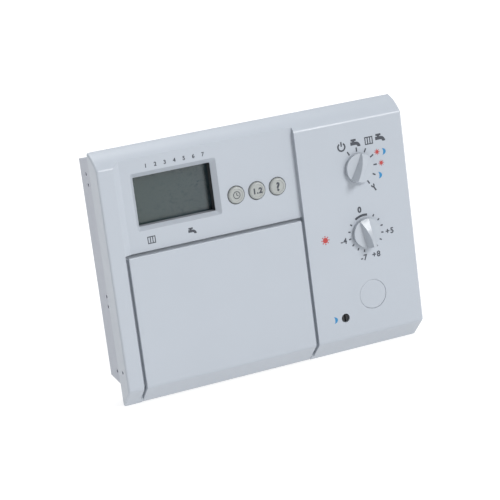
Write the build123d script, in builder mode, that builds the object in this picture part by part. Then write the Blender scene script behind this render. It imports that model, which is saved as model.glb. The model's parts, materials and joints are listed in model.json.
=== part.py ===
from build123d import *

import os
from math import sqrt

# Programmable timer for a heating boiler: a shallow two-part casing with a display, three keys,
# two dials and a drop-down door that covers the setting keys.
# X runs to the right, Y to the back and Z up, in millimetres.
# The origin is the middle of the four fixing holes, on the flat rear face.

# Casing
WIDTH = 180.0
DEPTH = 30.0
COVER_DEPTH = 12.0
WALL = 2.0
FACE_TOP = 56.0
FACE_BOTTOM = -64.0
TOP_RISE = 9.0
TOP_CROWN = 1.2
TOP_CREASE_RADIUS = 2.6
BOTTOM_DROP = 10.5
CREASE_RADIUS = 3.0
SIDE_RADIUS = 1.2
FRONT = -DEPTH
RIM = FRONT + COVER_DEPTH
INNER_FRONT = FRONT + WALL

# Bay that holds the display panel above and the door below
BAY_LEFT = -81.0
BAY_RIGHT = 23.8
PANEL_TOP = 60.0
PANEL_BOTTOM = 8.85
PANEL_FRONT = FRONT + 2.4
PANEL_BACK = PANEL_FRONT + WALL
PANEL_SLOPE = 4.3
WELL_FLOOR = FRONT + 9.0
WELL_BACK = WELL_FLOOR + 1.8
WELL_END = -62.0
LEDGE_WIDTH = 3.0
SIDE_LEDGE_DEPTH = 2.5
NOTCH_LEDGE_WIDTH = 1.6

# Door and its hinge
DOOR_SIDE_GAP = 1.75
DOOR_TOP = PANEL_BOTTOM - 1.5
DOOR_LEFT = BAY_LEFT + DOOR_SIDE_GAP
DOOR_RIGHT = BAY_RIGHT - DOOR_SIDE_GAP
DOOR_THICKNESS = 2.0
DOOR_EDGE_RADIUS = 0.5
DOOR_TIP = RIM - 0.5
HINGE_Y = -20.8
HINGE_Z = -67.5
HINGE_PIN_RADIUS = 1.2
HINGE_CLEARANCE = 0.06
EAR_RADIUS = 2.9
EAR_WIDTH = 2.6
EAR_INSET = 0.4

# Display
DISPLAY_X = -46.85
DISPLAY_Z = 35.5
BEZEL_SIZE = (48.9, 31.0)
WINDOW_X = -47.15
WINDOW_Z = 35.25
WINDOW_SIZE = (44.3, 26.5)
BEZEL_DEPTH = 2.5
BEZEL_LAND = 0.4
BEZEL_CORNER = 1.2
WINDOW_CORNER = 0.6
SEAL_WIDTH = 0.8
SEAL_SIZE = (WINDOW_SIZE[0] + 2 * SEAL_WIDTH, WINDOW_SIZE[1] + 2 * SEAL_WIDTH)
SEAL_FRONT = PANEL_FRONT + BEZEL_DEPTH + BEZEL_LAND
LENS_SIZE = (48.0, 30.5)
LENS_FRONT = PANEL_FRONT + 7.0
LENS_THICKNESS = 1.2
CELL_THICKNESS = 2.6
CELL_FRONT = LENS_FRONT + LENS_THICKNESS + 0.1
CELL_BACK = CELL_FRONT + CELL_THICKNESS
CARRIER_SIZE = (52.0, 36.0)
CARRIER_LEDGE = (46.0, 28.0)

# Electronics board
BOARD_FRONT = -12.6
BOARD_THICKNESS = 1.6
BOARD_BACK = BOARD_FRONT + BOARD_THICKNESS
BOARD_SIZE = (159.0, 108.0)
BOARD_SCREWS = [(-76.5, 49), (-76.5, -49), (76.5, 49), (76.5, -49), (29.5, 0)]
BOARD_SCREW_RADIUS = 1.25
BOSS_RADIUS = 2.8

# Push keys. Each one is a cap that presses the plunger of a small switch on the board.
BUTTON_X = [-13.2, -0.9, 11.4]
BUTTON_Z = 28.6
BUTTON_RADIUS = 4.4
BUTTON_HOLE_RADIUS = 5.1
BUTTON_PROUD = 1.3
BUTTON_FLANGE_RADIUS = 5.9
KEY_X = [-58.7, -28.7, 1.3]
KEY_Z = [-12.0, -38.0]
KEY_RADIUS = 4.0
KEY_HOLE_RADIUS = 4.5
KEY_PROUD = 1.3
KEY_FLANGE_RADIUS = 5.4
FLANGE_THICKNESS = 0.9
STEM_RADIUS = 1.9
SWITCH_SIZE = 6.0
SWITCH_HEIGHT = 3.5
PLUNGER_RADIUS = 1.7
PLUNGER_FRONT = BOARD_FRONT - 4.5
PLUNGER_LENGTH = 1.9
SLIDING_GAP = 0.08
BUTTON_NAMES = ["clock", "program", "info"]
KEY_NAMES = ["day", "minus", "plus", "heating", "hot_water", "reset"]

# Dials
DIAL_X = 60.1
MODE_Z = 29.7
OFFSET_Z = -6.9
MODE_ANGLE = 30.0
OFFSET_ANGLE = -11.2
DIAL_RADIUS = 8.2
DIAL_GAP = 0.3
DISC_THICKNESS = 2.1
GRIP_HALF_WAIST = 2.6
GRIP_HALF_END = 3.0
GRIP_TAPER = 20.0
GRIP_TIP_HEIGHT = 2.6
GRIP_MIDDLE_HEIGHT = 6.2
GRIP_TAIL_HEIGHT = 7.2
HUB_RADIUS = 4.2
HUB_HOLE_RADIUS = 4.7
HUB_BACK = -24.5
SHAFT_RADIUS = 2.0
SHAFT_FRONT = -33.0
SHAFT_BACK = -14.0
SHAFT_FIT = 0.02
SHAFT_CLEARANCE = 0.05

COLLAR_RADIUS = 4.0
COLLAR_FRONT = -18.0
COLLAR_BACK = -16.5
TURN_SWITCH_HEIGHT = 7.0

# Night setback adjuster and blanking plug
ADJUSTER_X = 41.6
ADJUSTER_Z = -52.3
ADJUSTER_RADIUS = 2.25
ADJUSTER_HOLE_RADIUS = 2.5
ADJUSTER_FRONT = FRONT + 1.0
ADJUSTER_BACK = -14.0
PLUG_Z = -42.4
PLUG_RADIUS = 8.15
PLUG_HOLE_RADIUS = 8.25

# Rear housing and what fastens it
HOUSING_FRONT = RIM + 0.2
HOUSING_MOUTH = (179.2, 124.0)
HOUSING_REAR = (178.2, 120.0)
LIP_FRONT = RIM - 2.0
LIP_GAP = 0.25
FIXING_SPACING = (130.0, 80.0)
FIXING_RADIUS = 2.25
CABLE_ENTRY = (40.0, 14.0)
CABLE_ENTRY_Z = -43.0
CASE_SCREW_X = 83.2
CASE_SCREW_Z = 53.0
CASE_SCREW_RADIUS = 1.5
CASE_POST_RADIUS = 3.2
CASE_POST_JOINT = -12.0
CASE_HEAD_RADIUS = 2.8
CASE_HEAD_RECESS = 4.5

# Components on the back of the board
CHIP_X = -40.0
CHIP_Z = 15.0
BATTERY_X = 38.0
BATTERY_Z = 24.0
CAPACITORS = [(5.0, 30.0, 4.0), (5.0, 18.0, 4.0), (-6.0, 24.0, 3.15)]
RESISTOR_X = -2.0
RESISTOR_Z = -6.0
TERMINAL_Z = -43.0
TERMINAL_SIZE = (33.0, 10.0)
TERMINAL_BACK = -4.0
TERMINAL_PITCH = 5.0
TERMINAL_WAYS = 6

# Small peg holes in the sides, as depth and height
PEG_HOLE_RADIUS = 1.0
COVER_PEG_HOLES = [(-24.6, -54.0)]
HOUSING_PEG_HOLES = [(-10.7, 52.9), (-12.0, 47.1), (-15.0, -13.5), (-15.2, -19.0), (-14.2, -55.3)]


def write(piece, name):
    """Label one finished piece and write it to its own file."""
    piece.part.label = name
    export_step(piece.part, f"parts/{name}.step")


def face_plane(y):
    """Plane parallel to the front face, looking out of the front, at the depth y."""
    return Plane.XZ.offset(-y)


def block(x_span, y_span, z_span, mode=Mode.ADD):
    """Box between two values along each axis."""
    spans = (x_span, y_span, z_span)
    middle = [(low + high) / 2 for low, high in spans]
    sizes = [high - low for low, high in spans]
    with Locations(tuple(middle)):
        Box(*sizes, mode=mode)


def rod(x, z, y_span, radius, mode=Mode.ADD):
    """Cylinder that runs from front to back."""
    low, high = y_span
    with Locations(Location((x, (low + high) / 2, z), (90, 0, 0))):
        Cylinder(radius, high - low, mode=mode)


def cross_rod(x_span, y, z, radius, mode=Mode.ADD):
    """Cylinder that runs from left to right."""
    low, high = x_span
    with Locations(Location(((low + high) / 2, y, z), (0, 90, 0))):
        Cylinder(radius, high - low, mode=mode)


def board_boss_foot(x, z):
    """Depth of the wall that a board screw's boss stands on."""
    if x > BAY_RIGHT:
        return INNER_FRONT
    return PANEL_BACK if z > PANEL_BOTTOM else WELL_BACK


def casing_section():
    """Side outline of the cover: crowned top edge, flat face and bottom bevel."""
    with BuildSketch() as section:
        with BuildLine():
            face_line = Line((FRONT, FACE_TOP), (FRONT, FACE_BOTTOM))
            bevel = Line(face_line @ 1, (RIM, FACE_BOTTOM - BOTTOM_DROP))
            rim_line = Line(bevel @ 1, (RIM, FACE_TOP + TOP_RISE))
            SagittaArc(rim_line @ 1, face_line @ 0, -TOP_CROWN)
        make_face()
        top_crease = section.vertices().sort_by_distance((FRONT, FACE_TOP, 0))[0]
        fillet(top_crease, TOP_CREASE_RADIUS)
        bottom_crease = section.vertices().sort_by_distance((FRONT, FACE_BOTTOM, 0))[0]
        fillet(bottom_crease, CREASE_RADIUS)
    return section.sketch_local


def casing_block(inset):
    """Solid of the cover's outline, with every face but the ends moved in by the inset."""
    half_width = WIDTH / 2 - inset
    with BuildPart() as whole:
        with BuildSketch(Plane.YZ.offset(-half_width)):
            add(casing_section())
            if inset:
                offset(amount=-inset, kind=Kind.INTERSECTION)
        extrude(amount=2 * half_width)
    return whole.part


def make_cover_cavity():
    """Space inside the cover, which leaves the walls of the bay standing."""
    bay_walls = (BAY_LEFT - WALL, BAY_RIGHT + WALL)
    with BuildPart() as cavity:
        add(casing_block(WALL))
        extrude(cavity.faces().sort_by(Axis.Y)[-1], amount=WALL + 1)
        block(bay_walls, (FRONT, PANEL_BACK), (PANEL_BOTTOM, PANEL_TOP + WALL), Mode.SUBTRACT)
        block(bay_walls, (FRONT, WELL_BACK), (WELL_END, PANEL_BOTTOM + WALL), Mode.SUBTRACT)
        block(bay_walls, (FRONT, RIM + 2), (FACE_BOTTOM - 20, WELL_END + WALL), Mode.SUBTRACT)
    return cavity.part


def cut_bay():
    """Cut the display recess, the key well behind the door and the notch for the door's foot."""
    bay = (BAY_LEFT, BAY_RIGHT)
    well = (BAY_LEFT + LEDGE_WIDTH, BAY_RIGHT - LEDGE_WIDTH)
    notch = (BAY_LEFT + NOTCH_LEDGE_WIDTH, BAY_RIGHT - NOTCH_LEDGE_WIDTH)
    below = (FACE_BOTTOM - 20, WELL_END)
    with BuildPart(mode=Mode.PRIVATE) as rebate:
        block(bay, (FRONT - 1, RIM - SIDE_LEDGE_DEPTH - 0.1), (FACE_BOTTOM - 20, PANEL_BOTTOM))
        add(casing_block(SIDE_LEDGE_DEPTH), mode=Mode.SUBTRACT)
    add(rebate.part, mode=Mode.SUBTRACT)
    block(bay, (FRONT - 1, PANEL_BACK), (PANEL_BOTTOM - LEDGE_WIDTH, PANEL_BOTTOM), Mode.SUBTRACT)
    block(well, (FRONT - 1, WELL_FLOOR), (WELL_END, PANEL_BOTTOM - LEDGE_WIDTH), Mode.SUBTRACT)
    block(notch, (FRONT - 1, RIM + 1), below, Mode.SUBTRACT)
    recess_corners = [
        (BAY_LEFT, FRONT - 1),
        (BAY_LEFT, FRONT),
        (BAY_LEFT + PANEL_SLOPE, PANEL_FRONT),
        (BAY_RIGHT, PANEL_FRONT),
        (BAY_RIGHT, FRONT - 1),
    ]
    with BuildPart(mode=Mode.PRIVATE) as recess:
        with BuildSketch(Plane.XY.offset(PANEL_BOTTOM)):
            with BuildLine():
                Polyline(*recess_corners, close=True)
            make_face()
        extrude(amount=PANEL_TOP - PANEL_BOTTOM)
    add(recess.part, mode=Mode.SUBTRACT)


def make_front_cover():
    with BuildPart() as cover:
        add(casing_block(0))
        ends = cover.faces().filter_by(Axis.X).edges()
        fillet(ends.filter_by(lambda edge: edge.center().Y < RIM - 0.1), SIDE_RADIUS)
        add(make_cover_cavity(), mode=Mode.SUBTRACT)

        # Posts for the case screws and for the board's screws
        for x in (-CASE_SCREW_X, CASE_SCREW_X):
            for z in (-CASE_SCREW_Z, CASE_SCREW_Z):
                rod(x, z, (INNER_FRONT - 0.5, CASE_POST_JOINT), CASE_POST_RADIUS)
                rod(x, z, (CASE_POST_JOINT - 10, CASE_POST_JOINT), CASE_SCREW_RADIUS, Mode.SUBTRACT)
        for x, z in BOARD_SCREWS:
            foot = board_boss_foot(x, z)
            rod(x, z, (foot - 0.5, BOARD_FRONT), BOSS_RADIUS)
            rod(x, z, (BOARD_FRONT - 5, BOARD_FRONT), BOARD_SCREW_RADIUS, Mode.SUBTRACT)
        cut_bay()

        # Display opening: a bevelled frame, then a straight pocket that the seal lines
        with BuildSketch(face_plane(LENS_FRONT)):
            with Locations((DISPLAY_X, DISPLAY_Z)):
                Rectangle(BEZEL_SIZE[0] + 3, BEZEL_SIZE[1] + 3)
        extrude(amount=LENS_FRONT - PANEL_BACK + 0.5)
        with BuildSketch(face_plane(PANEL_FRONT)):
            with Locations((DISPLAY_X, DISPLAY_Z)):
                RectangleRounded(*BEZEL_SIZE, BEZEL_CORNER)
        with BuildSketch(face_plane(PANEL_FRONT + BEZEL_DEPTH)):
            with Locations((WINDOW_X, WINDOW_Z)):
                RectangleRounded(*WINDOW_SIZE, WINDOW_CORNER)
        loft(mode=Mode.SUBTRACT)
        with BuildSketch(face_plane(PANEL_FRONT + BEZEL_DEPTH)):
            with Locations((WINDOW_X, WINDOW_Z)):
                RectangleRounded(*WINDOW_SIZE, WINDOW_CORNER)
        extrude(amount=-BEZEL_LAND, mode=Mode.SUBTRACT)
        with BuildSketch(face_plane(LENS_FRONT)):
            with Locations((WINDOW_X, WINDOW_Z)):
                Rectangle(*SEAL_SIZE)
        extrude(amount=LENS_FRONT - SEAL_FRONT, mode=Mode.SUBTRACT)

        # Guide tube of the adjuster, then the round openings in the front
        rod(ADJUSTER_X, ADJUSTER_Z, (INNER_FRONT - 0.5, FRONT + 8), ADJUSTER_HOLE_RADIUS + 1.2)
        rod(ADJUSTER_X, ADJUSTER_Z, (FRONT - 1, FRONT + 9), ADJUSTER_HOLE_RADIUS, Mode.SUBTRACT)
        rod(DIAL_X, PLUG_Z, (FRONT - 1, INNER_FRONT + 1), PLUG_HOLE_RADIUS, Mode.SUBTRACT)
        for z in (MODE_Z, OFFSET_Z):
            rod(DIAL_X, z, (FRONT - 1, INNER_FRONT + 1), HUB_HOLE_RADIUS, Mode.SUBTRACT)
        for x in BUTTON_X:
            rod(x, BUTTON_Z, (PANEL_FRONT - 1, PANEL_BACK + 1), BUTTON_HOLE_RADIUS, Mode.SUBTRACT)
        for x in KEY_X:
            for z in KEY_Z:
                rod(x, z, (WELL_FLOOR - 1, WELL_BACK + 1), KEY_HOLE_RADIUS, Mode.SUBTRACT)

        # Bores for the door's hinge pins and the small peg holes in the sides
        pin_hole = HINGE_PIN_RADIUS + HINGE_CLEARANCE
        cross_rod((BAY_LEFT - 3, BAY_RIGHT + 3), HINGE_Y, HINGE_Z, pin_hole, Mode.SUBTRACT)
        for x in (-WIDTH / 2, WIDTH / 2):
            for y, z in COVER_PEG_HOLES:
                cross_rod((x - 3, x + 3), y, z, PEG_HOLE_RADIUS, Mode.SUBTRACT)
    return cover


def make_rear_housing():
    half_mouth = HOUSING_MOUTH[1] / 2 - WALL
    lip_half = WIDTH / 2 - WALL - LIP_GAP
    with BuildPart() as tray:
        with BuildSketch(face_plane(HOUSING_FRONT)):
            Rectangle(*HOUSING_MOUTH)
        with BuildSketch(face_plane(0)):
            Rectangle(*HOUSING_REAR)
        loft()
        offset(amount=-WALL, openings=tray.faces().sort_by(Axis.Y)[0])
        fillet(tray.faces().sort_by(Axis.Y)[-1].outer_wire().edges(), 1.8)

    with BuildPart() as housing:
        # Flange that closes the cover's overhang above and below the tray
        add(casing_block(WALL + LIP_GAP))
        extrude(housing.faces().sort_by(Axis.Y)[-1], amount=WALL + LIP_GAP + HOUSING_FRONT - RIM)
        block((-WIDTH, WIDTH), (FRONT - 1, LIP_FRONT), (-WIDTH, WIDTH), Mode.SUBTRACT)
        inner_half = lip_half - WALL
        block((-inner_half, inner_half), (LIP_FRONT - 1, 0), (-half_mouth, half_mouth), Mode.SUBTRACT)
        notch = (BAY_LEFT - WALL - LIP_GAP, BAY_RIGHT + WALL + LIP_GAP)
        block(notch, (LIP_FRONT - 1, 0), (-WIDTH, 1 - half_mouth), Mode.SUBTRACT)
        add(tray.part)
        for side in (-1, 1):
            lip = sorted((side * lip_half, side * inner_half))
            block(lip, (LIP_FRONT, HOUSING_FRONT + 1.2), (-half_mouth, half_mouth))

        # Posts for the case screws, with a deep recess for each head in the rear face
        for x in (-CASE_SCREW_X, CASE_SCREW_X):
            for z in (-CASE_SCREW_Z, CASE_SCREW_Z):
                rod(x, z, (LIP_FRONT - 1, CASE_POST_JOINT), CASE_POST_RADIUS + 0.25, Mode.SUBTRACT)
                rod(x, z, (CASE_POST_JOINT, -0.5), CASE_POST_RADIUS)
                rod(x, z, (CASE_POST_JOINT - 1, 1), CASE_SCREW_RADIUS + 0.15, Mode.SUBTRACT)
                rod(x, z, (-CASE_HEAD_RECESS, 1), CASE_HEAD_RADIUS + 0.3, Mode.SUBTRACT)

        # Fixing holes on raised pads, the cable entry and the small peg holes in the sides
        with Locations(face_plane(0)):
            with GridLocations(*FIXING_SPACING, 2, 2):
                with Locations((0, 0, 1)):
                    Cylinder(6, 2.5, align=(Align.CENTER, Align.CENTER, Align.MIN))
                Cylinder(FIXING_RADIUS, 20, mode=Mode.SUBTRACT)
        with BuildSketch(face_plane(1)):
            with Locations((0, CABLE_ENTRY_Z)):
                RectangleRounded(*CABLE_ENTRY, 2)
        extrude(amount=6, mode=Mode.SUBTRACT)
        for x in (-WIDTH / 2, WIDTH / 2):
            for y, z in HOUSING_PEG_HOLES:
                cross_rod((x - 3, x + 3), y, z, PEG_HOLE_RADIUS, Mode.SUBTRACT)
    return housing


def make_door():
    """Bent door: flat front, bevelled foot and an end plate for the hinge pin on each side."""
    inner_front = FRONT + DOOR_THICKNESS
    slope = BOTTOM_DROP / COVER_DEPTH
    bevel_rise = DOOR_THICKNESS * sqrt(1 + slope**2)
    bevel_z = FACE_BOTTOM - slope * (DOOR_TIP - FRONT)
    inner_bend = (inner_front, FACE_BOTTOM - slope * DOOR_THICKNESS + bevel_rise)
    outline = [
        (FRONT, DOOR_TOP),
        (FRONT, FACE_BOTTOM),
        (DOOR_TIP, bevel_z),
        (DOOR_TIP, bevel_z + bevel_rise),
        inner_bend,
        (inner_front, DOOR_TOP),
    ]
    with BuildPart() as door:
        with BuildSketch(Plane.YZ.offset(DOOR_LEFT)) as section:
            with BuildLine():
                Polyline(*outline, close=True)
            make_face()
            fillet(section.vertices().sort_by_distance((FRONT, FACE_BOTTOM, 0))[0], CREASE_RADIUS)
            fillet(section.vertices().sort_by_distance((*inner_bend, 0))[0], CREASE_RADIUS - DOOR_THICKNESS)
        extrude(amount=DOOR_RIGHT - DOOR_LEFT)
        front_edges = door.edges().filter_by(lambda edge: abs(edge.center().Y - FRONT) < 0.01)
        fillet(front_edges.sort_by(Axis.Z)[1:], DOOR_EDGE_RADIUS)

        # End plates behind the foot, bored for the hinge pins
        plate_top = HINGE_Z + EAR_RADIUS
        for x in (DOOR_LEFT + EAR_INSET, DOOR_RIGHT - EAR_INSET - EAR_WIDTH):
            with BuildSketch(Plane.YZ.offset(x)):
                add(casing_section())
                offset(amount=-0.2)
                with Locations((DOOR_TIP, plate_top)):
                    Rectangle(40, 80, align=(Align.MAX, Align.MAX), mode=Mode.INTERSECT)
            extrude(amount=EAR_WIDTH)
        bore = HINGE_PIN_RADIUS + 0.02
        cross_rod((DOOR_LEFT - 1, DOOR_RIGHT + 1), HINGE_Y, HINGE_Z, bore, Mode.SUBTRACT)
    return door


def make_hinge_pins():
    """Two pins that join the door's end plates to the walls of the notch."""
    left_ear = DOOR_LEFT + EAR_INSET + EAR_WIDTH
    right_ear = DOOR_RIGHT - EAR_INSET - EAR_WIDTH
    with BuildPart() as pins:
        cross_rod((BAY_LEFT - WALL + 0.2, left_ear), HINGE_Y, HINGE_Z, HINGE_PIN_RADIUS)
        cross_rod((right_ear, BAY_RIGHT + WALL - 0.2), HINGE_Y, HINGE_Z, HINGE_PIN_RADIUS)
    return pins


def make_push_cap(x, z, wall_front, wall_back, radius, proud, flange_radius):
    """Round key cap with a flange that stops it behind the wall and a stem down to its switch."""
    flange_front = wall_back + 0.2
    flange_back = flange_front + FLANGE_THICKNESS
    with BuildPart() as cap:
        with BuildSketch(face_plane(flange_front)):
            with Locations((x, z)):
                Circle(radius)
        extrude(amount=flange_front - wall_front + proud)
        front_edge = cap.faces().sort_by(Axis.Y)[0].edges()
        fillet(front_edge, 0.7)
        rod(x, z, (flange_front, flange_back), flange_radius)
        rod(x, z, (flange_back, PLUNGER_FRONT), STEM_RADIUS)
    return cap


def make_plunger(x, z):
    """Moving middle of a push switch."""
    with BuildPart() as plunger:
        rod(x, z, (PLUNGER_FRONT, PLUNGER_FRONT + PLUNGER_LENGTH), PLUNGER_RADIUS)
    return plunger


def make_switch_bodies(places):
    """Square push switch bodies on the board, each with a well for its plunger."""
    body_front = BOARD_FRONT - SWITCH_HEIGHT
    with BuildPart() as switches:
        with BuildSketch(face_plane(BOARD_FRONT)):
            with Locations(*places):
                RectangleRounded(SWITCH_SIZE, SWITCH_SIZE, 0.5)
        extrude(amount=SWITCH_HEIGHT)
        with BuildSketch(face_plane(body_front)):
            with Locations(*places):
                Circle(PLUNGER_RADIUS + SLIDING_GAP)
        extrude(amount=-(SWITCH_HEIGHT - 0.8), mode=Mode.SUBTRACT)
    return switches


def grip_outline():
    """Outline of the grip bar seen from the front: waisted, and longer than the dial is wide."""
    reach = DIAL_RADIUS + 1
    with BuildSketch() as outline:
        with BuildLine():
            ThreePointArc((GRIP_HALF_END, reach), (GRIP_HALF_WAIST, 0), (GRIP_HALF_END, -reach))
            Line((GRIP_HALF_END, -reach), (-GRIP_HALF_END, -reach))
            ThreePointArc((-GRIP_HALF_END, -reach), (-GRIP_HALF_WAIST, 0), (-GRIP_HALF_END, reach))
            Line((-GRIP_HALF_END, reach), (GRIP_HALF_END, reach))
        make_face()
    return outline.sketch_local


def make_dial(z, angle):
    """Round dial with a grip bar that rises from its pointed end to its tail, a hub and a bore."""
    base = FRONT - DIAL_GAP
    disc_front = base - DISC_THICKNESS
    tip = (base - GRIP_TIP_HEIGHT, z + DIAL_RADIUS)
    crest = (base - GRIP_MIDDLE_HEIGHT, z)
    tail = (base - GRIP_TAIL_HEIGHT, z - DIAL_RADIUS)
    with BuildPart() as dial:
        rod(DIAL_X, z, (disc_front, base), DIAL_RADIUS + 1)
        with BuildSketch(Plane(origin=(DIAL_X, disc_front, z), x_dir=(1, 0, 0), z_dir=(0, -1, 0))):
            add(grip_outline())
        extrude(amount=GRIP_TAIL_HEIGHT - DISC_THICKNESS, taper=GRIP_TAPER)
        # Trim to the sloping crest, seen from the side, and to the round outline
        with BuildSketch(Plane.YZ.offset(DIAL_X - DIAL_RADIUS - 1)):
            with BuildLine():
                ThreePointArc(tip, crest, tail)
                Polyline(tail, (base, tail[1]), (base, tip[1]), tip)
            make_face()
        extrude(amount=2 * DIAL_RADIUS + 2, mode=Mode.INTERSECT)
        rod(DIAL_X, z, (base - GRIP_TAIL_HEIGHT - 1, base), DIAL_RADIUS, Mode.INTERSECT)
    with BuildPart() as turned:
        add(dial.part.rotate(Axis((DIAL_X, base, z), (0, 1, 0)), angle))
        rod(DIAL_X, z, (base - 0.3, HUB_BACK), HUB_RADIUS)
        rod(DIAL_X, z, (SHAFT_FRONT - 0.2, HUB_BACK + 1), SHAFT_RADIUS + SHAFT_FIT, Mode.SUBTRACT)
    return turned


def make_shaft(z):
    """Shaft with a flat at the dial's end and a collar inside its switch."""
    with BuildPart() as shaft:
        rod(DIAL_X, z, (SHAFT_FRONT, SHAFT_BACK), SHAFT_RADIUS)
        rod(DIAL_X, z, (COLLAR_FRONT, COLLAR_BACK), COLLAR_RADIUS)
        chamfer(shaft.faces().sort_by(Axis.Y)[0].edges(), 0.4)
    return shaft


def make_turn_switch(z, size, is_round):
    """Body of a rotary switch or a potentiometer, bushed for its shaft."""
    bushing_radius = 3.4
    with BuildPart() as body:
        with BuildSketch(face_plane(BOARD_FRONT)):
            with Locations((DIAL_X, z)):
                if is_round:
                    Circle(size / 2)
                else:
                    RectangleRounded(size, size, 1.5)
        extrude(amount=TURN_SWITCH_HEIGHT)
        bushing_front = BOARD_FRONT - TURN_SWITCH_HEIGHT - 3
        rod(DIAL_X, z, (bushing_front, BOARD_FRONT - 1), bushing_radius)
        bore = SHAFT_RADIUS + SHAFT_CLEARANCE
        rod(DIAL_X, z, (bushing_front - 1, SHAFT_BACK + 0.3), bore, Mode.SUBTRACT)
        chamber = (COLLAR_FRONT - 0.3, COLLAR_BACK + 0.3)
        rod(DIAL_X, z, chamber, COLLAR_RADIUS + 0.3, Mode.SUBTRACT)
    return body


def make_adjuster():
    """Slotted plastic spindle that is turned with a screwdriver through the front."""
    with BuildPart() as spindle:
        rod(ADJUSTER_X, ADJUSTER_Z, (ADJUSTER_FRONT, ADJUSTER_BACK), ADJUSTER_RADIUS)
        slot_x = (ADJUSTER_X - 0.4, ADJUSTER_X + 0.4)
        slot_z = (ADJUSTER_Z - ADJUSTER_RADIUS, ADJUSTER_Z + ADJUSTER_RADIUS)
        block(slot_x, (ADJUSTER_FRONT - 1, ADJUSTER_FRONT + 1.2), slot_z, Mode.SUBTRACT)
    return spindle


def make_adjuster_body():
    with BuildPart() as body:
        with BuildSketch(face_plane(BOARD_FRONT)):
            with Locations((ADJUSTER_X, ADJUSTER_Z)):
                RectangleRounded(9, 9, 0.8)
        extrude(amount=6)
        bore = (BOARD_FRONT - 7, ADJUSTER_BACK + 0.3)
        rod(ADJUSTER_X, ADJUSTER_Z, bore, ADJUSTER_RADIUS + SLIDING_GAP, Mode.SUBTRACT)
    return body


def make_blanking_plug():
    """Flush cap for the spare dial position, with a flange behind the cover."""
    with BuildPart() as plug:
        rod(DIAL_X, PLUG_Z, (FRONT + 0.1, INNER_FRONT), PLUG_RADIUS)
        fillet(plug.faces().sort_by(Axis.Y)[0].edges(), 0.3)
        rod(DIAL_X, PLUG_Z, (INNER_FRONT, INNER_FRONT + 1), PLUG_HOLE_RADIUS + 1)
        rod(DIAL_X, PLUG_Z, (INNER_FRONT - 0.6, INNER_FRONT + 2), PLUG_RADIUS - 1.4, Mode.SUBTRACT)
    return plug


def display_slab(size, y_front, y_back, mode=Mode.ADD):
    """Rectangular slab centred on the display's window."""
    half_x, half_z = size[0] / 2, size[1] / 2
    x_span = (WINDOW_X - half_x, WINDOW_X + half_x)
    z_span = (WINDOW_Z - half_z, WINDOW_Z + half_z)
    block(x_span, (y_front, y_back), z_span, mode)


def make_display_seal():
    """Foam frame between the window and the cover."""
    with BuildPart() as seal:
        display_slab(SEAL_SIZE, SEAL_FRONT, LENS_FRONT)
        display_slab(WINDOW_SIZE, SEAL_FRONT - 1, LENS_FRONT + 1, Mode.SUBTRACT)
    return seal


def make_display_window():
    with BuildPart() as window:
        display_slab(LENS_SIZE, LENS_FRONT, LENS_FRONT + LENS_THICKNESS)
    return window


def make_display_cell():
    """Liquid crystal cell: two glass plates, the rear one longer for its contacts."""
    half = CELL_THICKNESS / 2
    with BuildPart() as cell:
        display_slab((LENS_SIZE[0], LENS_SIZE[1] - 4), CELL_FRONT, CELL_FRONT + half)
        display_slab(LENS_SIZE, CELL_FRONT + half, CELL_BACK)
    return cell


def make_display_carrier():
    """Frame that holds the window and the cell between the cover and the board."""
    pocket = (LENS_SIZE[0] + 0.4, LENS_SIZE[1] + 0.4)
    with BuildPart() as carrier:
        display_slab(CARRIER_SIZE, LENS_FRONT + 0.05, BOARD_FRONT)
        display_slab(pocket, LENS_FRONT - 1, CELL_BACK, Mode.SUBTRACT)
        display_slab(CARRIER_LEDGE, CELL_BACK - 1, BOARD_FRONT + 1, Mode.SUBTRACT)
    return carrier


def make_contact_strips():
    """Rubber strips that carry the signals from the board to the cell's two long edges."""
    with BuildPart() as strips:
        for side in (-1, 1):
            middle = WINDOW_Z + side * (CARRIER_LEDGE[1] / 2 - 1.3)
            x_span = (WINDOW_X - 21.5, WINDOW_X + 21.5)
            block(x_span, (CELL_BACK, BOARD_FRONT), (middle - 1, middle + 1))
    return strips


def make_board():
    with BuildPart() as board:
        with BuildSketch(face_plane(BOARD_BACK)):
            RectangleRounded(*BOARD_SIZE, 2)
            with Locations(*BOARD_SCREWS):
                Circle(BOARD_SCREW_RADIUS + 0.2, mode=Mode.SUBTRACT)
        extrude(amount=BOARD_THICKNESS)
    return board


def make_board_screws():
    with BuildPart() as screws:
        for x, z in BOARD_SCREWS:
            rod(x, z, (BOARD_BACK, BOARD_BACK + 1.8), 2.4)
            rod(x, z, (BOARD_FRONT - 4.5, BOARD_BACK), BOARD_SCREW_RADIUS - 0.02)
            cut_cross(x, z, BOARD_BACK + 1.8, 1.6)
    return screws


def make_case_screws():
    head_back = -CASE_HEAD_RECESS + 2.2
    with BuildPart() as screws:
        for x in (-CASE_SCREW_X, CASE_SCREW_X):
            for z in (-CASE_SCREW_Z, CASE_SCREW_Z):
                rod(x, z, (-CASE_HEAD_RECESS, head_back), CASE_HEAD_RADIUS)
                rod(x, z, (CASE_POST_JOINT - 8, -CASE_HEAD_RECESS), CASE_SCREW_RADIUS - 0.02)
                cut_cross(x, z, head_back, 2.0)
    return screws


def cut_cross(x, z, back, reach):
    """Cross recess in a screw head that faces the back."""
    block((x - reach, x + reach), (back - 1, back + 1), (z - 0.35, z + 0.35), Mode.SUBTRACT)
    block((x - 0.35, x + 0.35), (back - 1, back + 1), (z - reach, z + reach), Mode.SUBTRACT)


def make_controller():
    """Square control chip, standing on its leads."""
    with BuildPart() as chip:
        block((CHIP_X - 7, CHIP_X + 7), (BOARD_BACK + 0.3, BOARD_BACK + 2.1), (CHIP_Z - 7, CHIP_Z + 7))
        chamfer(chip.edges().filter_by(Axis.Y), 0.6)
    return chip


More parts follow.
